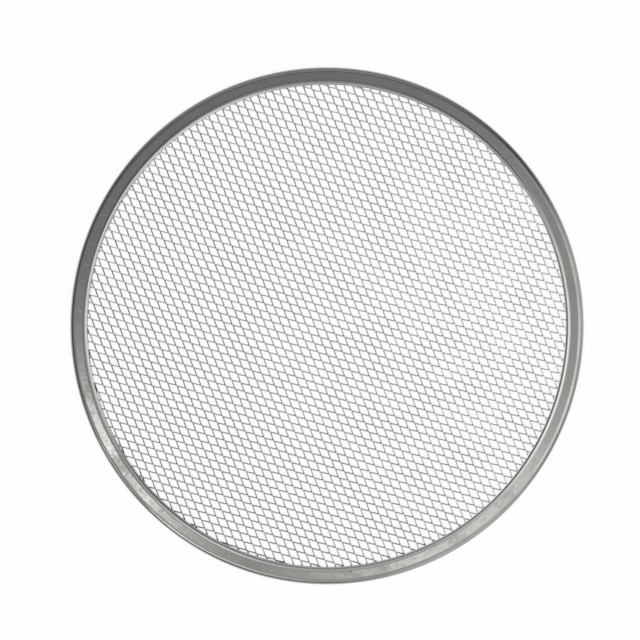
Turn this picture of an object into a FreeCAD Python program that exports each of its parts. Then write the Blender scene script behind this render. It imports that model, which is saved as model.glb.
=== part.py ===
"""Pizza screen: a disc of expanded aluminium sheet held in a folded aluminium rim.

Millimetres, +Z up. The origin is the centre of the underside, where the screen
lies on an oven deck. +X is the right of the photograph and +Y is its top.
"""
import FreeCAD
import Part
import Sketcher
import math
import os

# Ends of a sketch element, and the sketch's own origin, as constraints count them
START, END, CENTRE = range(1, 4)
AXES, ORIGIN = -1, START

# Driving dimensions of the screen
SIZES = [
    ("overall_diameter", 304.8, "outside of the rim, a 12 inch screen"),
    ("rim_height", 4.8, "thickness of the folded rim"),
    ("strip_gauge", 0.8, "sheet that the rim is folded from"),
    ("rim_width", 10.0, "from the outside of the rim to the edge of its lips"),
    ("lip_width", 2.6, "from the edge of the lips to the flat of the rim"),
    ("lip_slope_width", 1.5, "gentle slope at the start of the lip"),
    ("lip_slope_angle", 18.0, "fall of that slope, in degrees"),
    ("mesh_long_way", 10.76, "diamond of the mesh, corner to corner the long way"),
    ("mesh_short_way", 4.91, "diamond of the mesh, corner to corner the short way"),
    ("mesh_turn", -42.4, "direction of the long way, counted from +X in degrees"),
    ("strand_width", 1.05, "width of a strand, seen from above"),
    ("strand_depth", 0.6, "depth of a strand, half of the raised sheet"),
    ("opening_x", 1.1, "centre of the opening nearest to the middle"),
    ("opening_y", -1.4, "centre of the same opening"),
    ("mesh_edge_gap", 0.7, "from the edge of the mesh to the inside of the fold"),
]

doc = FreeCAD.newDocument("pizza_screen")
sizes = doc.addObject("Spreadsheet::Sheet", "sizes")
for row, (word, value, meaning) in enumerate(SIZES, start=1):
    sizes.set(f"A{row}", word)
    sizes.set(f"B{row}", str(value))
    sizes.set(f"C{row}", meaning)
    sizes.setAlias(f"B{row}", word)
doc.recompute()


# Rim: one strip folded round the edge of the mesh and rolled into a hoop. Its
# two legs are flat on top and underneath, and each ends in a lip that slopes
# gently and then steeply down to the mesh. Each corner of the upper half is
# given by its distance from the axis and its level, and the lower half mirrors it.
FOLD_RADIUS = "(sizes.rim_height / 2)"
FOLD_ACROSS = f"(sizes.overall_diameter / 2 - {FOLD_RADIUS})"
HOLLOW_RADIUS = f"({FOLD_RADIUS} - sizes.strip_gauge)"
MOUTH = "(sizes.overall_diameter / 2 - sizes.rim_width)"
SEAT = f"({FOLD_RADIUS} + sizes.strand_depth)"
LIP_START = f"({MOUTH} + sizes.lip_width)"
LIP_BEND = f"({LIP_START} - sizes.lip_slope_width)"
SLOPE = "(sizes.lip_slope_angle * 1 deg)"
BEND_LEVEL = f"(sizes.rim_height - sizes.lip_slope_width * tan({SLOPE}))"
STEEP = f"atan(({BEND_LEVEL} - {SEAT}) / ({LIP_BEND} - {MOUTH}))"
MEAN = f"(({SLOPE} + {STEEP}) / 2)"
BEND_OFFSET = f"(sizes.strip_gauge / cos(({STEEP} - {SLOPE}) / 2))"
OUTER_CORNERS = [
    ("lip_tip", MOUTH, SEAT),
    ("lip_bend", LIP_BEND, BEND_LEVEL),
    ("lip_start", LIP_START, "sizes.rim_height"),
    ("fold_start", FOLD_ACROSS, "sizes.rim_height"),
]
INNER_CORNERS = [
    ("hollow_side", f"{FOLD_ACROSS} + {HOLLOW_RADIUS} * cos(30 deg)",
     f"{FOLD_RADIUS} + {HOLLOW_RADIUS} / 2"),
    ("hollow_top", FOLD_ACROSS, "sizes.rim_height - sizes.strip_gauge"),
    ("slope_inside", f"{LIP_START} + sizes.strip_gauge * tan({SLOPE} / 2)",
     "sizes.rim_height - sizes.strip_gauge"),
    ("bend_inside", f"{LIP_BEND} + {BEND_OFFSET} * sin({MEAN})",
     f"{BEND_LEVEL} - {BEND_OFFSET} * cos({MEAN})"),
    ("tip_inside", f"{MOUTH} + sizes.strip_gauge / sin({STEEP})", SEAT),
]


def point(x, y):
    """A point of a sketch."""
    return FreeCAD.Vector(x, y, 0)


def hold(sketch, name, expression, *references):
    """Constrain a sketch by a named size that follows the sheet."""
    index = sketch.addConstraint(Sketcher.Constraint(*references))
    sketch.renameConstraint(index, name)
    sketch.setExpression(f"Constraints.{name}", expression)


def origin_part(body, role):
    """The plane of a body's own origin that has this role."""
    return next(item for item in body.Origin.OriginFeatures if item.Role == role)


def both_halves():
    """All corners of the strip's section, once round from the upper lip."""
    def lower(corners):
        return [
            (f"low_{name}", across, f"sizes.rim_height - ({level})")
            for name, across, level in reversed(corners)
        ]
    return OUTER_CORNERS + lower(OUTER_CORNERS) + lower(INNER_CORNERS) + INNER_CORNERS


def roll_rim():
    """The strip's section turned once round the axis."""
    body = doc.addObject("PartDesign::Body", "rim")
    body.Label = "rim"
    section = body.newObject("Sketcher::SketchObject", "strip_section")
    section.AttachmentSupport = (origin_part(body, "XZ_Plane"), [""])
    section.MapMode = "FlatFace"
    corners = both_halves()
    places = [
        point(float(section.evalExpression(across)), float(section.evalExpression(level)))
        for name, across, level in corners
    ]
    fold = len(OUTER_CORNERS) - 1
    fold_centre = (places[fold] + places[fold + 1]) / 2
    fold_radius = places[fold].distanceToPoint(fold_centre)
    quarter = math.radians(90)
    for index, place in enumerate(places):
        after = places[(index + 1) % len(places)]
        if index == fold:
            round_edge = Part.Circle(fold_centre, FreeCAD.Vector(0, 0, 1), fold_radius)
            section.addGeometry(Part.ArcOfCircle(round_edge, -quarter, quarter))
        else:
            section.addGeometry(Part.LineSegment(place, after))
    for index, (name, across, level) in enumerate(corners):
        before = (index - 1) % len(corners)
        start = END if index == fold else START
        before_end = START if before == fold else END
        section.addConstraint(
            Sketcher.Constraint("Coincident", before, before_end, index, start)
        )
        hold(section, f"{name}_across", across,
             "DistanceX", AXES, ORIGIN, index, start, places[index].x)
        hold(section, f"{name}_level", level,
             "DistanceY", AXES, ORIGIN, index, start, places[index].y)
    section.addConstraint(Sketcher.Constraint("Vertical", fold, CENTRE, fold, START))
    hoop = body.newObject("PartDesign::Revolution", "hoop")
    hoop.Profile = section
    hoop.ReferenceAxis = (section, ["V_Axis"])
    hoop.Angle = 360
    return body




# Mesh: one sheet that was slit and pulled open, so that its strands run in two
# directions and cross at the bonds. Each direction is a layer of straight
# strands, the lower half and the upper half of the raised sheet's height.
DIAMOND_SIDE = "(sqrt(sizes.mesh_long_way ^ 2 + sizes.mesh_short_way ^ 2) / 2)"
STRAND_SPACING = f"(sizes.mesh_long_way * sizes.mesh_short_way / 2 / {DIAMOND_SIDE})"
STRAND_LEAN = "atan(sizes.mesh_short_way / sizes.mesh_long_way)"
SHEET_RADIUS = "(sizes.overall_diameter / 2 - sizes.strip_gauge - sizes.mesh_edge_gap)"


def strand_layer(name, level, lean):
    """All strands of one direction, each as long as the round sheet is there."""
    direction = f"(sizes.mesh_turn * 1 deg {lean} {STRAND_LEAN})"
    opening = f"(sizes.opening_y * cos({direction}) - sizes.opening_x * sin({direction}))"
    layer = doc.addObject("Part::Compound", name)
    count = math.ceil(sizes.evalExpression(f"{SHEET_RADIUS} / {STRAND_SPACING}")) + 1
    strands = []
    for index in range(-count, count):
        middle = f"({opening} + ({index} + 1 / 2) * {STRAND_SPACING})"
        far_side = f"(abs({middle}) + sizes.strand_width / 2)"
        room = sizes.evalExpression(f"{SHEET_RADIUS} - {far_side}")
        if room < sizes.strand_width:
            continue
        strand = doc.addObject("Part::Box", f"{name}_strand")
        strand.setExpression("Length", f"2 * sqrt({SHEET_RADIUS} ^ 2 - {far_side} ^ 2)")
        strand.setExpression("Width", "sizes.strand_width")
        strand.setExpression("Height", "sizes.strand_depth")
        strand.setExpression("Placement.Base.x", "-Length / 2")
        strand.setExpression("Placement.Base.y", f"({middle} - sizes.strand_width / 2) * 1 mm")
        strands.append(strand)
    layer.Links = strands
    layer.setExpression("Placement.Base.z", level)
    layer.setExpression("Placement.Rotation.Angle", direction)
    return layer


def lay_mesh():
    """Both directions of strands, face to face where they cross."""
    sheet = doc.addObject("Part::Compound", "mesh")
    sheet.Label = "mesh"
    sheet.Links = [
        strand_layer("lower_half", f"({FOLD_RADIUS} - sizes.strand_depth) * 1 mm", "-"),
        strand_layer("upper_half", f"{FOLD_RADIUS} * 1 mm", "+"),
    ]
    return sheet


nodes = [roll_rim(), lay_mesh()]
doc.recompute()

for item in doc.Objects:
    if "Invalid" in item.State or "Error" in item.State:
        raise RuntimeError(f"{item.Label} failed: {item.State}")
for node in nodes:
    if node.Shape.isNull() or not node.Shape.isValid():
        raise RuntimeError(f"{node.Label} has no valid shape")

os.makedirs("parts", exist_ok=True)
for node in nodes:
    node.Shape.exportStep(f"parts/{node.Label}.step")
    print(node.Label, len(node.Shape.Solids), "solids", round(node.Shape.Volume, 1), "mm3")
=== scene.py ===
import math

import bmesh
import bpy
from mathutils import Matrix, Vector


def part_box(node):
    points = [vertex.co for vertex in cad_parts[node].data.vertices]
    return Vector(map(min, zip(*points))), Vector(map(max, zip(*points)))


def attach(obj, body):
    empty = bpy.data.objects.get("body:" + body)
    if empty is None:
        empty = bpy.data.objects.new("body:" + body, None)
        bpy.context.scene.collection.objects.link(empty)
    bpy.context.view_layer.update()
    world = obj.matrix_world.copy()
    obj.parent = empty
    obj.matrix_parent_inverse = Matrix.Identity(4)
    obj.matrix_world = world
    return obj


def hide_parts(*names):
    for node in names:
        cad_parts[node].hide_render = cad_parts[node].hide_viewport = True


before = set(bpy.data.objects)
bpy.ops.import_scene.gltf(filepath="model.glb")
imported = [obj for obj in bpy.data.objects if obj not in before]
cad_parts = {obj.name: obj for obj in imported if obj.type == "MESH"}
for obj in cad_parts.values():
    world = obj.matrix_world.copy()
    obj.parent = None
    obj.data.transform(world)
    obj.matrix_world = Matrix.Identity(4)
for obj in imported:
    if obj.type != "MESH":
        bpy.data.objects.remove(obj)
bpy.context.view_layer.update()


# The mesh is one sheet of bare aluminium, slit in staggered rows and pulled open
# into raised diamonds. At each bond two strands lie one on the other for a short
# way, both tilted towards the lower left, and from there they run to the next bonds.
MM = 0.001
weld = 0.01 * MM
long_way = 10.76 * MM
short_way = 4.91 * MM
long_way_turn = math.radians(-42.0)
short_way_turn = math.radians(47.25)
opening_centre = Vector((1.97, -1.1, 0)) * MM
strand_height = 0.38 * MM
strand_across = 0.88 * MM
bond_tilt = math.radians(24)
bond_length = 1.15 * MM
mesh_low, mesh_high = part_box("mesh")
mesh_level = (mesh_low.z + mesh_high.z) / 2
mesh_radius = mesh_high.x
sheet_clean = (0.7, 0.697, 0.685, 1)
sheet_used = (0.63, 0.627, 0.615, 1)
sheet_dull = (0.52, 0.517, 0.505, 1)
sheet_smooth = 0.1
sheet_rough = 0.17
patch_rough = 0.06
sheet_wave_depth = 0.015 * MM
sheet_grain_depth = 0.003 * MM


def as_mesh(bm, name):
    """Keep a finished bmesh as a mesh."""
    mesh = bpy.data.meshes.new(name)
    bm.to_mesh(mesh)
    bm.free()
    return mesh


def as_piece(bm, name):
    """Put a finished bmesh into the scene as an object."""
    piece = bpy.data.objects.new(name, as_mesh(bm, name))
    bpy.context.scene.collection.objects.link(piece)
    return piece


def pull(bm, faces, shift):
    """Extrude a strand's end faces and carry the new ends along."""
    made = bmesh.ops.extrude_face_region(bm, geom=faces)["geom"]
    ends = [item for item in made if isinstance(item, bmesh.types.BMFace)]
    bmesh.ops.translate(bm, verts=list({v for face in ends for v in face.verts}), vec=shift)
    return ends


def bond_with_strands():
    """One bond and the near halves of its four strands, with the bond at the origin."""
    upward = Vector((0, -math.sin(bond_tilt), math.cos(bond_tilt)))
    sideways = Vector((0, upward.z, -upward.y))
    bm = bmesh.new()
    rows = [
        [
            bm.verts.new(upward * strand_height * level + sideways * strand_across / 2 * side)
            for side in (1, -1)
        ]
        for level in (-1, 0, 1)
    ]
    sections = [
        bm.faces.new((below[0], below[1], above[1], above[0]))
        for below, above in zip(rows, rows[1:])
    ]
    ends = pull(bm, sections, Vector((bond_length / 2, 0, 0)))
    lower, upper = sorted(ends, key=lambda face: face.calc_center_median().z)
    for end, way in ((upper, -1), (lower, 1)):
        middle = Vector((long_way / 4, way * short_way / 4, 0))
        pull(bm, [end], middle - end.calc_center_median())
    # A face across a strand would be a wall inside the metal once the halves are joined.
    crosswise = [face for face in bm.faces if face.verts[0].co.x == face.verts[2].co.x]
    bmesh.ops.delete(bm, geom=crosswise, context="FACES")
    copy = bmesh.ops.duplicate(bm, geom=bm.verts[:] + bm.edges[:] + bm.faces[:])["geom"]
    mirrored = [item for item in copy if isinstance(item, bmesh.types.BMVert)]
    bmesh.ops.scale(bm, vec=(-1, 1, 1), verts=mirrored)
    bmesh.ops.remove_doubles(bm, verts=bm.verts, dist=weld)
    return as_mesh(bm, "bond")


def expanded_sheet():
    """Bonds at every place of the lattice, joined strand to strand."""
    along = Vector((math.cos(long_way_turn), math.sin(long_way_turn), 0))
    across = Vector((math.cos(short_way_turn), math.sin(short_way_turn), 0))
    step_up = (along * long_way + across * short_way) / 2
    step_down = (along * long_way - across * short_way) / 2
    first = opening_centre + along * long_way / 2 + Vector((0, 0, mesh_level))
    reach = long_way / 4
    count = math.ceil(mesh_radius / short_way * 2)
    unit = bond_with_strands()
    unit.transform(Matrix((along, across, (0, 0, 1))).transposed().to_4x4())
    sheet = bmesh.new()
    last = Vector()
    for row in range(-count, count + 1):
        for column in range(-count, count + 1):
            place = first + step_up * row + step_down * column
            if place.xy.length + reach < mesh_radius:
                unit.transform(Matrix.Translation(place - last))
                sheet.from_mesh(unit)
                last = place
    bpy.data.meshes.remove(unit)
    bmesh.ops.remove_doubles(sheet, verts=sheet.verts, dist=weld)
    # The ends left open are those under the rim, where the sheet was cut round.
    open_ends = [edge for edge in sheet.edges if edge.is_boundary]
    bmesh.ops.holes_fill(sheet, edges=open_ends, sides=4)
    bmesh.ops.recalc_face_normals(sheet, faces=sheet.faces)
    return as_piece(sheet, "expanded_mesh")


def node(tree, kind, values, **options):
    """Add a node with its options, and give its inputs values or other nodes' outputs."""
    made = tree.nodes.new(kind)
    for name, option in options.items():
        setattr(made, name, option)
    for name, value in values.items():
        if isinstance(value, bpy.types.NodeSocket):
            tree.links.new(value, made.inputs[name])
        else:
            made.inputs[name].default_value = value
    return made.outputs


def math_node(tree, operation, *values, clamp=False):
    """One operation on numbers."""
    inputs = dict(enumerate(values))
    return node(tree, "ShaderNodeMath", inputs, operation=operation, use_clamp=clamp)[0]


def grain(tree, where, scale, detail=2.0):
    """Even noise of one size, from 0 to 1."""
    return node(tree, "ShaderNodeTexNoise", {"Vector": where, "Scale": scale, "Detail": detail})[0]


def span(tree, value, start, end, low=0.0, high=1.0, **options):
    """Turn a value's range from start to end into low to high, and hold it there."""
    return node(tree, "ShaderNodeMapRange", {
        "Value": value, "From Min": start, "From Max": end, "To Min": low, "To Max": high,
    }, **options)[0]


def blend(tree, share, first, second):
    """Two colours by the share of the second. A colour mix has them in inputs 6 and 7."""
    return node(tree, "ShaderNodeMix", {0: share, 6: first, 7: second}, data_type="RGBA")[2]


def relief(tree, height, depth, under=None):
    """Raise the surface by a height from 0 to 1, over what lies under it."""
    values = {"Strength": 1.0, "Distance": depth, "Height": height}
    if under:
        values["Normal"] = under
    return node(tree, "ShaderNodeBump", values)["Normal"]


def bare_metal(name):
    """A metal material, its tree, and the place on the piece that its patterns follow."""
    made = bpy.data.materials.new(name)
    made.use_nodes = True
    tree = made.node_tree
    tree.nodes["Principled BSDF"].inputs["Metallic"].default_value = 1
    return made, tree, node(tree, "ShaderNodeTexCoord", {})["Object"]


def finish_metal(tree, colour, rough, surface):
    """Give the metal its colour, roughness and relief."""
    metal = tree.nodes["Principled BSDF"]
    for name, value in (("Base Color", colour), ("Roughness", rough), ("Normal", surface)):
        tree.links.new(value, metal.inputs[name])


def sheet_aluminium():
    """Bare sheet, greyer in patches from use, with small dull marks, soft waves and fine grain."""
    made, tree, where = bare_metal("sheet_aluminium")
    patches = span(tree, grain(tree, where, scale=45), start=0.4, end=0.65)
    marks = span(tree, grain(tree, where, scale=700, detail=4), start=0.58, end=0.72, high=0.6)
    fine = grain(tree, where, scale=2600, detail=3)
    waves = grain(tree, where, scale=420)
    colour = blend(tree, patches, sheet_clean, sheet_used)
    colour = blend(tree, marks, colour, sheet_dull)
    rough = math_node(
        tree, "ADD",
        span(tree, fine, start=0.3, end=0.7, low=sheet_smooth, high=sheet_rough),
        span(tree, patches, start=0, end=1, high=patch_rough),
    )
    surface = relief(tree, waves, sheet_wave_depth)
    surface = relief(tree, fine, sheet_grain_depth, surface)
    finish_metal(tree, colour, rough, surface)
    return made


mesh_piece = expanded_sheet()
mesh_piece.data.materials.append(sheet_aluminium())
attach(mesh_piece, "root")
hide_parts("mesh")


# The rim is one aluminium strip, folded over the edge of the sheet and rolled
# into a hoop. Both legs slope a little to the fold, and their other edges turn
# in to lips that stand on the mesh.
rim_low, rim_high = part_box("rim")
rim_middle = (rim_high.z + rim_low.z) / 2
rim_steps = 360
sharp_edge = math.radians(35)
# Corners of the strip's upper half, in mm: distance from the axis, level above the
# middle of the rim, and how far the bend reaches. The last one is at the fold.
strip_outside = [
    (142.0, 0.6, 0), (142.0, 1.68, 0.25), (143.25, 2.54, 0.6), (144.6, 2.07, 0.4),
    (145.1, 2.063, 0), (149.2, 2.004, 0), (150.85, 1.98, 1.5), (152.83, 0, 1.1),
]
strip_inside = [
    (142.8, 0.6, 0), (142.8, 1.1, 0.1), (143.45, 1.68, 0.4),
    (144.5, 1.27, 0.4), (150.5, 1.18, 0.7), (151.7, 0, 0.6),
]
lip_edge = 142.5 * MM
speck_reach = 0.4 * MM
bead_middle = 143.2 * MM
bead_reach = 1.6 * MM
fold_start = 150.4 * MM
fold_fade = 1.2 * MM
nick_place = (15.3 * MM, -144.4 * MM, 0)
nick_size = 0.75 * MM
nick_depth = 0.08 * MM
strip_plain = (0.72, 0.709, 0.68, 1)
strip_grey = (0.61, 0.6, 0.575, 1)
# The bead's colour is lighter, partly from burnish and partly as a painted highlight.
bead_burnish_and_painted_highlight = (0.85, 0.847, 0.835, 1)
# The fold's colour is darker, partly from scuffs and partly as painted shade along the outer edge.
fold_scuff_and_painted_shade = (0.43, 0.424, 0.408, 1)
# Painted shade for the specks at the lip, and the dark of the one nick.
lip_shade_and_nick_dark = (0.2, 0.198, 0.19, 1)
strip_smooth = 0.1
strip_rough = 0.17
scratch_rough = 0.1
scratch_turn = math.radians(38)
scratch_depth = 0.004 * MM
line_hoop = 2.5 * MM
line_depth = 0.0007 * MM
strip_wave_depth = 0.022 * MM


def both_halves(corners):
    """The upper half's corners to the fold, and the lower half's back from it."""
    return corners + [(across, -level, bend) for across, level, bend in reversed(corners[:-1])]


def strip_section(bm):
    """One round of the strip's section: out and back along its outside, then its inside."""
    corners = both_halves(strip_outside) + both_halves(strip_inside)[::-1]
    verts = [
        bm.verts.new(Vector((across * MM, 0, level * MM + rim_middle)))
        for across, level, bend in corners
    ]
    for start, end in zip(verts, verts[1:] + verts[:1]):
        bm.edges.new((start, end))
    for vert, (across, level, bend) in zip(verts, corners):
        if bend:
            bmesh.ops.bevel(
                bm, geom=[vert], offset=bend * MM, segments=2 * math.ceil(bend * 2),
                profile=0.5, affect="VERTICES", material=-1,
            )


def rolled_rim():
    """The strip's section turned into a hoop."""
    bm = bmesh.new()
    strip_section(bm)
    bmesh.ops.spin(
        bm, geom=bm.verts[:] + bm.edges[:], axis=(0, 0, 1), cent=(0, 0, 0),
        angle=math.tau, steps=rim_steps, use_merge=True,
    )
    bmesh.ops.remove_doubles(bm, verts=bm.verts, dist=weld)
    bmesh.ops.recalc_face_normals(bm, faces=bm.faces)
    for face in bm.faces:
        face.smooth = True
    for edge in bm.edges:
        edge.smooth = edge.calc_face_angle(0) < sharp_edge
    return as_piece(bm, "folded_rim")


def vector_node(tree, operation, *values):
    """One operation on places or directions. A length or a product of two is a number."""
    made = node(tree, "ShaderNodeVectorMath", dict(enumerate(values)), operation=operation)
    return made["Value" if operation in ("LENGTH", "DISTANCE", "DOT_PRODUCT") else "Vector"]


def roller_lines(tree, where, flat, radius):
    """Noise that is fine across the strip and drawn out along it."""
    height = node(tree, "ShaderNodeSeparateXYZ", {0: where})["Z"]
    lane = node(tree, "ShaderNodeCombineXYZ", {"Z": math_node(tree, "ADD", radius, height)})[0]
    heading = vector_node(tree, "NORMALIZE", flat)
    along = vector_node(tree, "MULTIPLY", heading, (line_hoop, line_hoop, 0))
    return grain(tree, vector_node(tree, "ADD", lane, along), scale=5200, detail=3)


def wear(tree, where, lines):
    """How grey the strip is, in patches, in an etched mottle and in streaks along its lines."""
    patches = grain(tree, where, scale=70, detail=4)
    etched = grain(tree, where, scale=480, detail=3)
    mottle = math_node(
        tree, "ADD",
        span(tree, patches, start=0.42, end=0.66, high=0.8),
        span(tree, etched, start=0.35, end=0.65, low=-0.25, high=0.35),
    )
    streaks = span(tree, lines, start=0.3, end=0.7, low=-0.14, high=0.14)
    return math_node(tree, "ADD", mottle, streaks, clamp=True)


def strip_colour(tree, radius, worn):
    """Grey where the strip is worn, lighter on its bead from burnish and a painted highlight, and
    darker at the outer fold from scuffs and painted shade.
    """
    # The bead is lighter, partly from burnish and partly as a painted highlight.
    from_bead = math_node(tree, "ABSOLUTE", math_node(tree, "SUBTRACT", radius, bead_middle))
    bead = span(tree, from_bead, start=bead_reach, end=bead_reach / 2)
    # The outer fold darkens, partly from scuffs and partly as painted shade.
    fold = span(tree, radius, start=fold_start, end=fold_start + fold_fade)
    colour = blend(tree, worn, strip_plain, strip_grey)
    colour = blend(tree, bead, colour, bead_burnish_and_painted_highlight)
    return blend(tree, fold, colour, fold_scuff_and_painted_shade)


def lip_shade_specks(tree, where, radius):
    """Painted shade in dark specks at the edge of the lip, where the ends of strands go under it.
    """
    dots = node(tree, "ShaderNodeTexVoronoi", {"Vector": where, "Scale": 380.0})["Distance"]
    specks = span(tree, dots, start=0.2, end=0.1, high=0.8)
    near_lip = span(tree, radius, start=lip_edge + speck_reach, end=lip_edge)
    return math_node(tree, "MULTIPLY", specks, near_lip)


def scratches(tree, where):
    """Faint scratches that run one way, in a few stretches of the rim."""
    drawn_out = node(tree, "ShaderNodeMapping", {
        "Vector": where, "Rotation": (0, 0, scratch_turn), "Scale": (1, 32, 1),
    })[0]
    scored = span(tree, grain(tree, drawn_out, scale=62, detail=1), start=0.66, end=0.72)
    handled = span(tree, grain(tree, where, scale=16), start=0.45, end=0.6)
    return math_node(tree, "MULTIPLY", scored, handled)


def strip_aluminium():
    """Mill finish with roller lines, soft waves, faint scratches, painted shade in dark specks at
    the lip, and one nick.
    """
    made, tree, where = bare_metal("strip_aluminium")
    flat = vector_node(tree, "MULTIPLY", where, (1, 1, 0))
    radius = vector_node(tree, "LENGTH", flat)
    lines = roller_lines(tree, where, flat, radius)
    worn = wear(tree, where, lines)
    scored = scratches(tree, where)
    from_nick = vector_node(tree, "DISTANCE", flat, nick_place)
    nick = span(tree, from_nick, start=nick_size, end=nick_size / 2, high=0.8)
    # The lip's dark specks are painted shade; the nick is a mark of its own.
    lip_shade_and_nick = math_node(tree, "MAXIMUM", lip_shade_specks(tree, where, radius), nick)
    colour = blend(tree, lip_shade_and_nick, strip_colour(tree, radius, worn), lip_shade_and_nick_dark)
    rough = math_node(
        tree, "ADD",
        span(tree, worn, start=0, end=1, low=strip_smooth, high=strip_rough),
        span(tree, scored, start=0, end=1, high=scratch_rough),
    )
    surface = relief(tree, grain(tree, where, scale=95), strip_wave_depth)
    surface = relief(tree, lines, line_depth, surface)
    surface = relief(tree, scored, -scratch_depth, surface)
    surface = relief(tree, nick, -nick_depth, surface)
    finish_metal(tree, colour, rough, surface)
    return made


rim_piece = rolled_rim()
rim_piece.data.materials.append(strip_aluminium())
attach(rim_piece, "root")
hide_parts("rim")


# The floor is a plain white table top, which the screen lies on. To the camera and in
# the metal most of its white is a glow of its own, and the rest takes light and shadow.
floor_size = 12.0
floor_glow = 0.85
floor_paint = (0.9, 0.9, 0.9, 1)
floor_white = (1, 1, 1, 1)


def white_top():
    """Matt white paint with a glow of its own for the rays that show it."""
    made = bpy.data.materials.new("white_top")
    made.use_nodes = True
    tree = made.node_tree
    tree.nodes.clear()
    ray = node(tree, "ShaderNodeLightPath", {})
    seen = math_node(tree, "MAXIMUM", ray["Is Camera Ray"], ray["Is Glossy Ray"])
    seen = math_node(tree, "MAXIMUM", seen, ray["Is Transmission Ray"])
    share = math_node(tree, "MULTIPLY", seen, floor_glow)
    paint = node(tree, "ShaderNodeBsdfDiffuse", {"Color": floor_paint})[0]
    glow = node(tree, "ShaderNodeEmission", {"Color": floor_white, "Strength": 1.0})[0]
    mix = node(tree, "ShaderNodeMixShader", {0: share, 1: paint, 2: glow})[0]
    node(tree, "ShaderNodeOutputMaterial", {"Surface": mix})
    return made


def white_table():
    """A flat top that fills every view from above."""
    bm = bmesh.new()
    bmesh.ops.create_grid(bm, x_segments=1, y_segments=1, size=floor_size / 2)
    top = as_piece(bm, "floor")
    top.data.materials.append(white_top())
    return top


white_table()


# The room is a plain studio with a dim level all over, soft round lights and a pale wall
# all round along the floor. The metal reflects them, brightest from the right and the
# lower left, and least on the upper left. One wide lamp lights the table.
room_level = 0.105
# Each light's azimuth, angle from overhead, full radius and faded radius, in degrees,
# and its brightness. Azimuth 0 is on the right, and -90 at the bottom of the frame.
room_lights = [
    # right
    (-12, 18, 5, 25, 0.54),
    (-4, 50, 12, 36, 0.45),
    (15, 78, 12, 34, 0.3),
    # bottom
    (-62, 66, 10, 28, 0.4),
    (-75, 42, 18, 44, 0.3),
    # lower left
    (-115, 47, 5, 11, 0.38),
    (-130, 42, 7, 9.5, 0.4),
    (-131.5, 55.5, 6.5, 8.5, 0.6),
    (-135.5, 47.5, 3.2, 5, 1.0),
    (-149, 55, 5, 8, 0.55),
    (-156, 51, 3.5, 8, 0.36),
    (-156, 30, 6, 28, 0.17),
    # top
    (100, 66, 18, 48, 0.2),
    # nearly overhead
    (110, 9, 4, 12, 0.1),
    (-124.4, 6.9, 1, 4.5, 0.7),
    (-163.5, 12.8, 1.1, 2.7, 1.5),
]
wall_bright = 0.98
wall_top = math.radians(9)
wall_fade = math.radians(14)
lamp_height = 1.6
lamp_width = 2.0
lamp_power = 24.0


def studio():
    """The world, as a dim room with soft round lights and a pale wall along the floor."""
    world = bpy.data.worlds.new("studio")
    bpy.context.scene.world = world
    world.use_nodes = True
    tree = world.node_tree
    tree.nodes.clear()
    where = node(tree, "ShaderNodeTexCoord", {})["Generated"]
    total = room_level
    for *angles, brightness in room_lights:
        turn, tip, full, faded = map(math.radians, angles)
        axis = (math.sin(tip) * math.cos(turn), math.sin(tip) * math.sin(turn), math.cos(tip))
        glow = span(
            tree, vector_node(tree, "DOT_PRODUCT", where, axis), high=brightness,
            start=math.cos(faded), end=math.cos(full), interpolation_type="SMOOTHSTEP",
        )
        total = math_node(tree, "ADD", glow, total)
    upward = node(tree, "ShaderNodeSeparateXYZ", {0: where})["Z"]
    wall = span(tree, upward, start=math.sin(wall_fade), end=math.sin(wall_top), high=wall_bright)
    level = math_node(tree, "MAXIMUM", total, wall)
    light = node(tree, "ShaderNodeBackground", {"Color": level})[0]
    node(tree, "ShaderNodeOutputWorld", {"Surface": light})


def table_lamp():
    """A wide soft lamp over the table, out of the metal's reflections."""
    data = bpy.data.lights.new("table_lamp", "AREA")
    data.size = lamp_width
    data.energy = lamp_power
    lamp = bpy.data.objects.new("table_lamp", data)
    lamp.location = (0, 0, lamp_height)
    lamp.visible_glossy = False
    lamp.visible_camera = False
    bpy.context.scene.collection.objects.link(lamp)


studio()
table_lamp()


# The camera looks down on the screen from 2.4 m through a long lens. It stands a little
# to the right, so it sees the screen 7.1 degrees from straight above, and the screen lies
# a few pixels to the right of the middle of the frame and below it.
camera_distance = 2.4
camera_lean = math.radians(7.1)
pixel = 0.58933 * MM
frame_pixels = 640
centre_right = 4.96
centre_down = 5.83
sensor_width = 36
nearest_seen = 0.01
farthest_seen = 50


def overhead_camera():
    """The camera, aimed at the middle of the frame, with a lens that gives the pixel its size."""
    data = bpy.data.cameras.new("camera")
    camera = bpy.data.objects.new("camera", data)
    bpy.context.scene.collection.objects.link(camera)
    bpy.context.scene.camera = camera
    back = Vector((math.sin(camera_lean), 0, math.cos(camera_lean)))
    up = Vector((0, 1, 0))
    right = up.cross(back)
    aim = Vector((0, 0, rim_middle)) - right * centre_right * pixel + up * centre_down * pixel
    camera.rotation_mode = "QUATERNION"
    camera.rotation_quaternion = Matrix((right, up, back)).transposed().to_quaternion()
    camera.location = aim + back * camera_distance
    data.sensor_width = sensor_width
    data.lens = sensor_width * camera_distance / (pixel * frame_pixels)
    data.clip_start = nearest_seen
    data.clip_end = farthest_seen


overhead_camera()
bpy.context.scene.view_settings.view_transform = "Standard"
